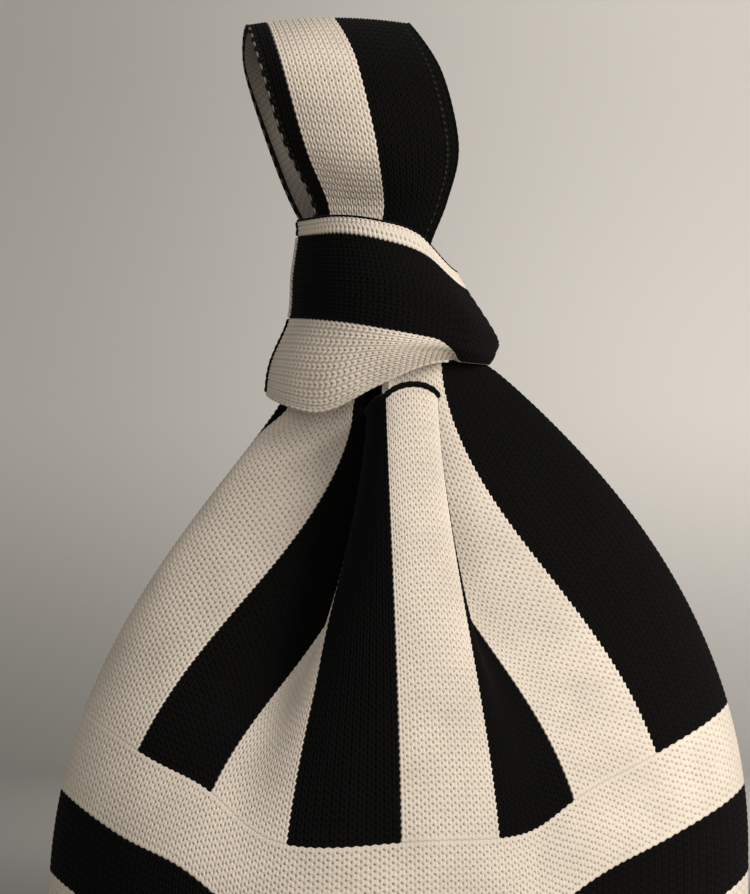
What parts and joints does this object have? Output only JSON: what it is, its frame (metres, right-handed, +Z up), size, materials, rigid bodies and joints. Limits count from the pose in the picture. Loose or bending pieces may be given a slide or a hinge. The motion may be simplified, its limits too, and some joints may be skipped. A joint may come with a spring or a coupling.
{
  "type": "knot bag",
  "caption": "Striped knitted knot bag, open at the mouth, with a long handle drawn through the wrap of a short handle to form a wrist loop.",
  "frame": {"origin": "centre of the bag's footprint on the surface it stands on", "axes": "+Z up, front towards -Y, short handle towards +X"},
  "size_m": [0.212, 0.1, 0.3363],
  "materials": {
    "cream_knit": "matt cream knitted yarn",
    "black_knit": "matt black knitted yarn"
  },
  "bodies": {
    "bag": {"front_cream_stripe_1": "cream_knit", "front_black_stripe_1": "black_knit", "front_cream_stripe_2": "cream_knit", "front_black_stripe_2": "black_knit", "front_cream_stripe_3": "cream_knit", "front_black_stripe_3": "black_knit", "front_cream_stripe_4": "cream_knit", "front_black_stripe_4": "black_knit", "back_cream_stripe_1": "cream_knit", "back_black_stripe_1": "black_knit", "back_cream_stripe_2": "cream_knit", "back_black_stripe_2": "black_knit", "back_cream_stripe_3": "cream_knit", "back_black_stripe_3": "black_knit", "back_cream_stripe_4": "cream_knit", "back_black_stripe_4": "black_knit", "front_cream_band": "cream_knit", "front_black_band": "black_knit", "front_lower_cream_band": "cream_knit", "front_lower_black_band": "black_knit", "front_base_cream": "cream_knit", "back_cream_band": "cream_knit", "back_black_band": "black_knit", "back_lower_cream_band": "cream_knit", "back_lower_black_band": "black_knit", "back_base_cream": "cream_knit", "front_mouth_edge": "black_knit", "back_mouth_edge": "black_knit", "left_side_seam": "black_knit", "right_side_seam": "black_knit", "bottom_seam": "cream_knit", "front_cream_wrap": "cream_knit", "front_black_wrap": "black_knit", "front_upper_cream_wrap": "cream_knit", "back_cream_wrap": "cream_knit", "back_black_wrap": "black_knit", "back_upper_cream_wrap": "cream_knit", "short_handle_seam": "black_knit"},
    "long_handle": {"front_neck_limb": "cream_knit", "back_neck_limb": "black_knit"},
    "carry_loop": {"loop_black_edge": "black_knit", "loop_cream_stripe": "cream_knit", "loop_black_stripe": "black_knit"}
  },
  "joints": [
    {"name": "handle_pull", "type": "slide", "parent": "bag", "child": "long_handle", "axis": [0, 0, 1], "range_m": [0, 0.02]},
    {"name": "loop_tilt", "type": "hinge", "parent": "long_handle", "child": "carry_loop", "pos_m": [-0.005, 0, 0.276], "axis": [1, 0, 0], "range_deg": [-35, 35], "stiffness_Nm_per_rad": 0.02}
  ]
}
